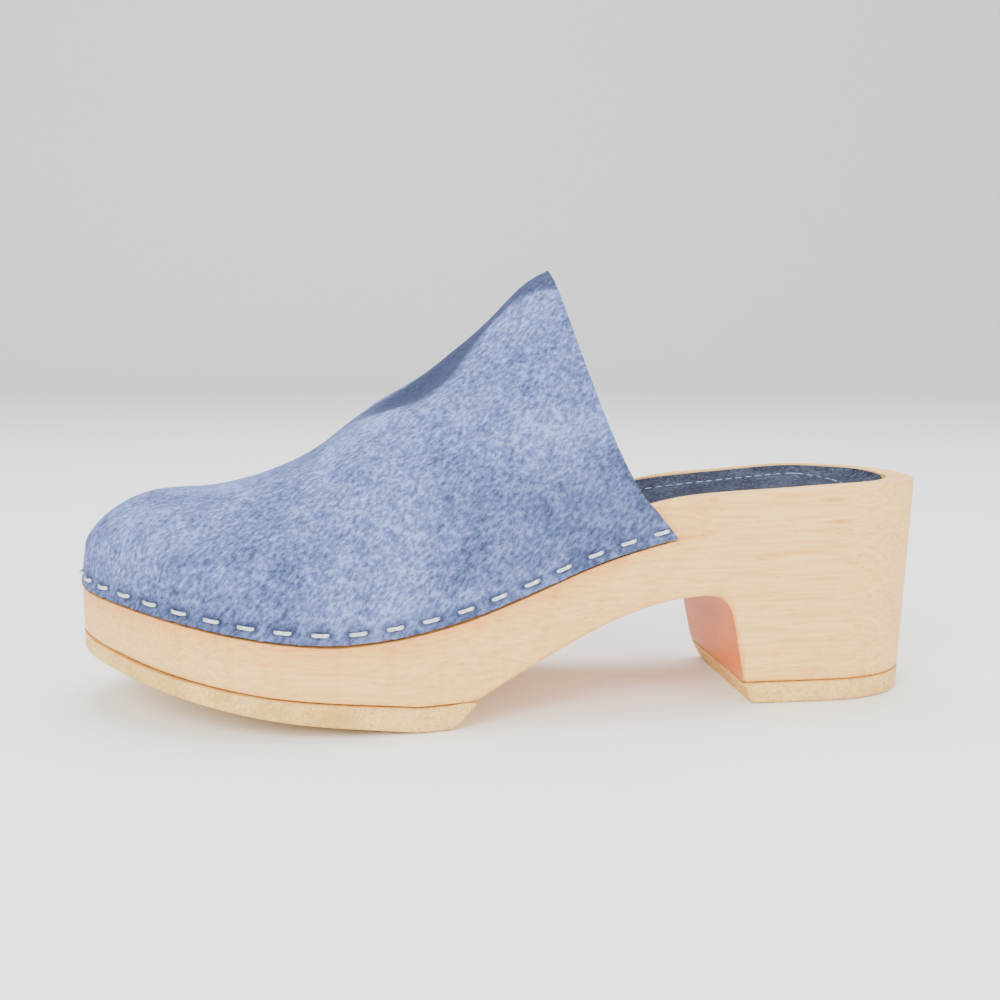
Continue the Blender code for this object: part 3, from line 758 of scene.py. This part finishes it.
class CLOG_OT_topstitching(bpy.types.Operator):
    """Sew the row of stitches inside the insole's edge"""

    bl_idname = "clog.topstitching"
    bl_label = "Topstitching"

    def execute(self, context):
        sizes = context.scene.clog_sizes
        colours = context.scene.clog_colours
        line = stitch_line(sizes.stitch_inset)
        mesh_data = bmesh.new()
        step = sizes.stitch + sizes.stitch_gap
        travelled = 0.0
        wanted = step / 2
        for before, after in zip(line, line[1:]):
            run = after - before
            while travelled + run.length >= wanted:
                place = before + run * ((wanted - travelled) / run.length)
                sew_stitch(mesh_data, place, run.normalized(), sizes.stitch)
                wanted += step
            travelled += run.length
        thread = spun_thread("spun thread", colours.thread, colours.suede_middle)
        finish_piece("insole_topstitching", mesh_data, thread)
        return {"FINISHED"}


def sew_stitch(mesh_data, place, along, length):
    """One stitch, a short fat thread that dips into the suede at both ends."""
    made = bmesh.ops.create_uvsphere(mesh_data, u_segments=6, v_segments=6, radius=0.5)["verts"]
    side = Vector((0, 0, 1)).cross(along).normalized()
    up = along.cross(side).normalized()
    turn = Matrix((side, up, along)).transposed().to_4x4()
    bmesh.ops.scale(mesh_data, vec=(0.6 * MM, 0.5 * MM, length), verts=made)
    bmesh.ops.transform(mesh_data, matrix=Matrix.Translation(place) @ turn, verts=made)


def insole_edge(tree, x, side):
    """Where the insole's edge stands at an x, found by closing in on it from the middle."""
    inner, outer = 0.0, side * WIDTH
    for _ in range(EDGE_HALVINGS):
        middle = (inner + outer) / 2
        if tree.ray_cast(Vector((x, middle, 1.0)), Vector((0, 0, -1)))[0] is None:
            outer = middle
        else:
            inner = middle
    return inner


EDGE_HALVINGS = 22
STITCH_LINE_STEPS = 240


def stitch_line(inset):
    """Points over the insole's top, at an even distance inside its edge."""
    mesh_data = merged_copy("insole")
    tree = BVHTree.FromBMesh(mesh_data)
    mesh_data.free()
    edge_points = []
    start = UPPER_HIGH.x - 0.16 * LENGTH
    heel_x = INSOLE_HIGH.x - 0.1 * MM
    for side in (-1, 1):
        run = []
        for i in range(STITCH_LINE_STEPS + 1):
            x = start + (heel_x - start) * math.sin(i / STITCH_LINE_STEPS * math.pi / 2)
            run.append(Vector((x, insole_edge(tree, x, side), 0.0)))
        edge_points += run if side < 0 else run[::-1]
    line = []
    for i in range(1, len(edge_points) - 1):
        tangent = edge_points[i + 1] - edge_points[i - 1]
        if tangent.length < 1e-6:
            continue
        inward = Vector((-tangent.y, tangent.x, 0.0)).normalized()
        point = edge_points[i] + inward * inset
        hit = tree.ray_cast(Vector((point.x, point.y, 1.0)), Vector((0, 0, -1)))[0]
        if hit is not None and (not line or (hit - line[-1]).length > 0.3 * MM):
            line.append(hit + Vector((0, 0, 0.05 * MM)))
    return line


class CLOG_OT_stage(bpy.types.Operator):
    """Set the pale floor, the soft lights and the camera"""

    bl_idname = "clog.stage"
    bl_label = "Studio"

    def execute(self, context):
        make_floor()
        make_lights(context)
        make_camera(context)
        return {"FINISHED"}


FLOOR_REACH = 3.0
BACKDROP_TURN = 0.6


def make_floor():
    """A pale floor that curves up into a backdrop behind the clog."""
    mesh_data = bmesh.new()
    profile = [mesh_data.verts.new((0.0, -FLOOR_REACH, 0.0))]
    profile.append(mesh_data.verts.new((0.0, FLOOR_REACH - BACKDROP_TURN, 0.0)))
    for i in range(1, 13):
        angle = math.pi / 2 * i / 12
        profile.append(mesh_data.verts.new((
            0.0, FLOOR_REACH - BACKDROP_TURN + BACKDROP_TURN * math.sin(angle),
            BACKDROP_TURN - BACKDROP_TURN * math.cos(angle))))
    profile.append(mesh_data.verts.new((0.0, FLOOR_REACH, FLOOR_REACH)))
    edges = [mesh_data.edges.new(pair) for pair in zip(profile, profile[1:])]
    bmesh.ops.translate(mesh_data, vec=(-FLOOR_REACH, 0, 0), verts=mesh_data.verts)
    swept = bmesh.ops.extrude_edge_only(mesh_data, edges=edges)
    verts = [item for item in swept["geom"] if isinstance(item, bmesh.types.BMVert)]
    bmesh.ops.translate(mesh_data, vec=(2 * FLOOR_REACH, 0, 0), verts=verts)
    bmesh.ops.recalc_face_normals(mesh_data, faces=mesh_data.faces)
    mesh = bpy.data.meshes.new("studio_floor")
    mesh_data.to_mesh(mesh)
    mesh_data.free()
    mesh.shade_smooth()
    made, tree, shader, place = new_material("painted studio floor")
    shader.inputs["Base Color"].default_value = hex_to_linear("#F7F7F7")
    shader.inputs["Roughness"].default_value = 0.9
    mesh.materials.append(made)
    floor = bpy.data.objects.new("studio_floor", mesh)
    bpy.context.scene.collection.objects.link(floor)


# Soft boxes round the clog: place and size in metres, power in watts
Lamp = namedtuple("Lamp", "name x y z size power colour")
LAMPS = (
    Lamp("key", -0.75, -1.15, 0.95, 0.9, 30.0, "#FFFFFF"),
    Lamp("fill", 0.95, -1.05, 0.55, 0.9, 14.0, "#FFFAF2"),
    Lamp("top", 0.05, 0.35, 1.35, 1.0, 22.0, "#FFFFFF"),
)


def make_lights(context):
    """Soft boxes, and an even pale surround."""
    target = Vector((0.0, 0.0, HEIGHT / 2))
    for lamp in LAMPS:
        data = bpy.data.lights.new(lamp.name, "AREA")
        data.shape = "SQUARE"
        data.size = lamp.size
        data.energy = lamp.power
        data.color = hex_to_linear(lamp.colour)[:3]
        light = bpy.data.objects.new(lamp.name, data)
        light.location = (lamp.x, lamp.y, lamp.z)
        light.rotation_euler = (target - light.location).to_track_quat("-Z", "Y").to_euler()
        context.scene.collection.objects.link(light)
    world = bpy.data.worlds.new("studio")
    world.use_nodes = True
    surround = world.node_tree.nodes["Background"]
    surround.inputs["Color"].default_value = hex_to_linear("#FFFFFF")
    surround.inputs["Strength"].default_value = 1.1
    context.scene.world = world


CAMERA_TARGET = Vector((-0.0016, 0.0, 0.0577))
CAMERA_DISTANCE = 0.373
CAMERA_TURN = math.radians(7.0)
CAMERA_RISE = math.radians(7.4)
CAMERA_LENS = 44.5


def make_camera(context):
    """The camera at the photo's angle, a little to the toe's side and a little above."""
    data = bpy.data.cameras.new("camera")
    data.lens = CAMERA_LENS
    data.sensor_width = 36.0
    data.clip_start = 0.01
    camera = bpy.data.objects.new("camera", data)
    away = Vector((-math.sin(CAMERA_TURN) * math.cos(CAMERA_RISE),
                   -math.cos(CAMERA_TURN) * math.cos(CAMERA_RISE), math.sin(CAMERA_RISE)))
    camera.location = CAMERA_TARGET + away * CAMERA_DISTANCE
    camera.rotation_euler = (-away).to_track_quat("-Z", "Y").to_euler()
    context.scene.collection.objects.link(camera)
    context.scene.camera = camera


class CLOG_PT_panel(bpy.types.Panel):
    """The clog's operators, sizes and colours"""

    bl_idname = "CLOG_PT_panel"
    bl_label = "Suede clog"
    bl_space_type = "VIEW_3D"
    bl_region_type = "UI"
    bl_category = "Clog"

    def draw(self, context):
        for operator in OPERATORS:
            self.layout.operator(operator.bl_idname)
        for group in (context.scene.clog_sizes, context.scene.clog_colours):
            for name in group.__annotations__:
                self.layout.prop(group, name)


OPERATORS = (
    CLOG_OT_wooden_sole,
    CLOG_OT_treads,
    CLOG_OT_insole,
    CLOG_OT_topstitching,
    CLOG_OT_upper,
    CLOG_OT_staples,
    CLOG_OT_stage,
)
CLASSES = (ClogSizes, ClogColours, *OPERATORS, CLOG_PT_panel)


def register():
    for cls in CLASSES:
        bpy.utils.register_class(cls)
    bpy.types.Scene.clog_sizes = bpy.props.PointerProperty(type=ClogSizes)
    bpy.types.Scene.clog_colours = bpy.props.PointerProperty(type=ClogColours)


def unregister():
    del bpy.types.Scene.clog_colours
    del bpy.types.Scene.clog_sizes
    for cls in reversed(CLASSES):
        bpy.utils.unregister_class(cls)


def main():
    register()
    bpy.ops.clog.wooden_sole()
    bpy.ops.clog.treads()
    bpy.ops.clog.insole()
    bpy.ops.clog.topstitching()
    bpy.ops.clog.upper()
    bpy.ops.clog.staples()
    bpy.ops.clog.stage()


if __name__ == "__main__":
    main()
